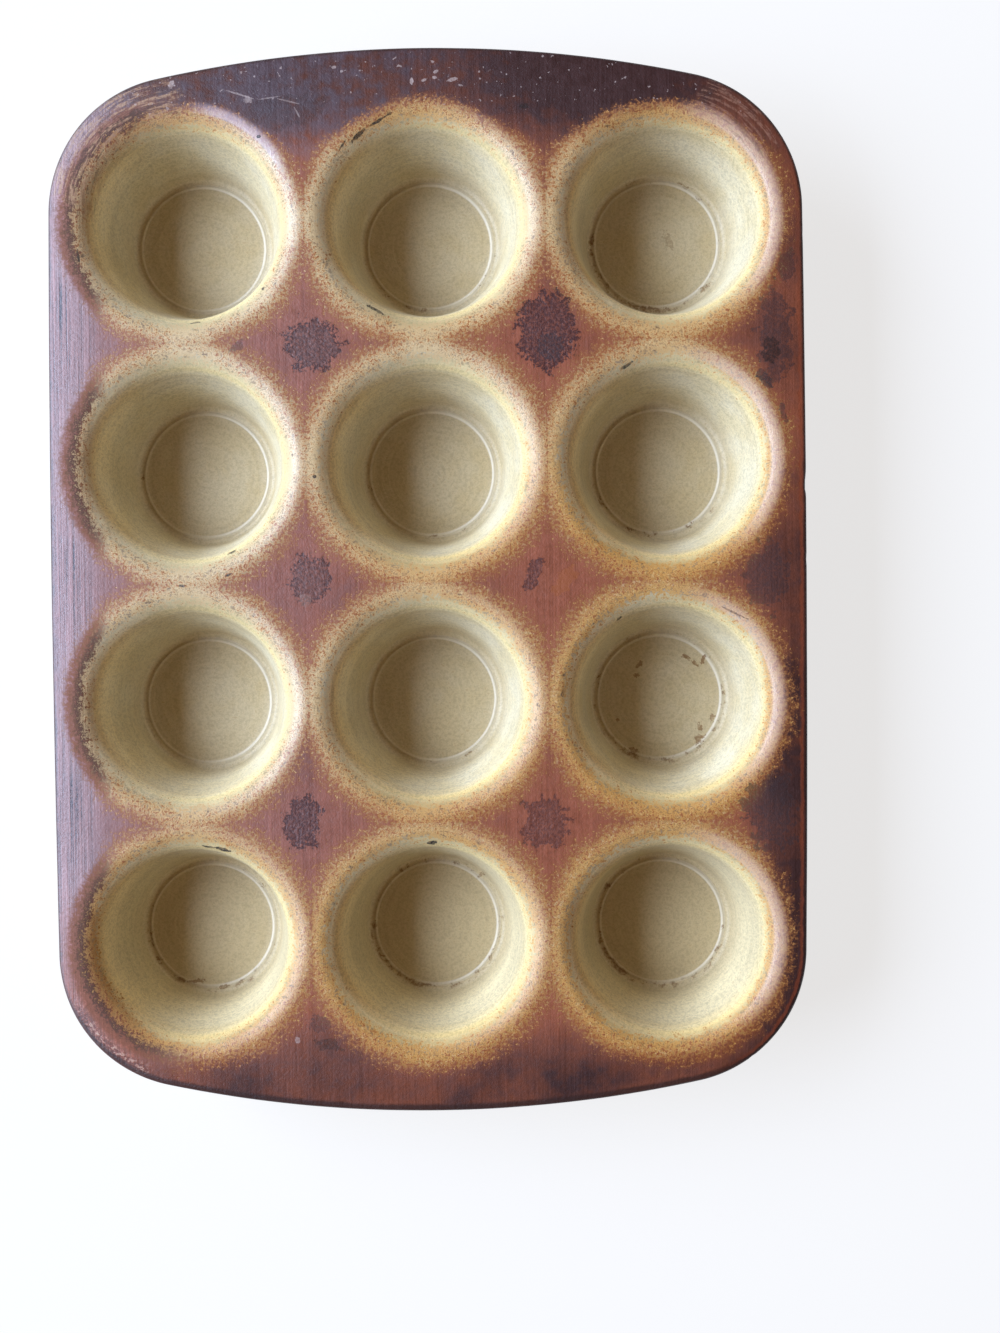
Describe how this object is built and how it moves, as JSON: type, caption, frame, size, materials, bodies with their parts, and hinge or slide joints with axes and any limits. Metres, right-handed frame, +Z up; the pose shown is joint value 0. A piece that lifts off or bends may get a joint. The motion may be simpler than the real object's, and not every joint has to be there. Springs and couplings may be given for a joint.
{
  "type": "muffin pan",
  "caption": "Stoneware baking pan: a flat deck with bowed ends and a rounded rim carries rows of tapered, flat-based round cups.",
  "frame": {"origin": "centre of the pan's outline, on the plane of the cups' flat bases", "axes": "+Z up out of the mouths, +Y along the long side towards row 1, +X along the short side towards the right column"},
  "size_m": [0.2846, 0.4, 0.045],
  "materials": {
    "deck": "seasoned stoneware, dark red-brown and slightly glossy with baked-on oil, paler at the mouths",
    "cups": "bare fired stoneware, cream to golden tan, matt"
  },
  "bodies": {
    "root": {"deck": "deck", "cup_row1_left": "cups", "cup_row1_middle": "cups", "cup_row1_right": "cups", "cup_row2_left": "cups", "cup_row2_middle": "cups", "cup_row2_right": "cups", "cup_row3_left": "cups", "cup_row3_middle": "cups", "cup_row3_right": "cups", "cup_row4_left": "cups", "cup_row4_middle": "cups", "cup_row4_right": "cups"}
  },
  "joints": []
}
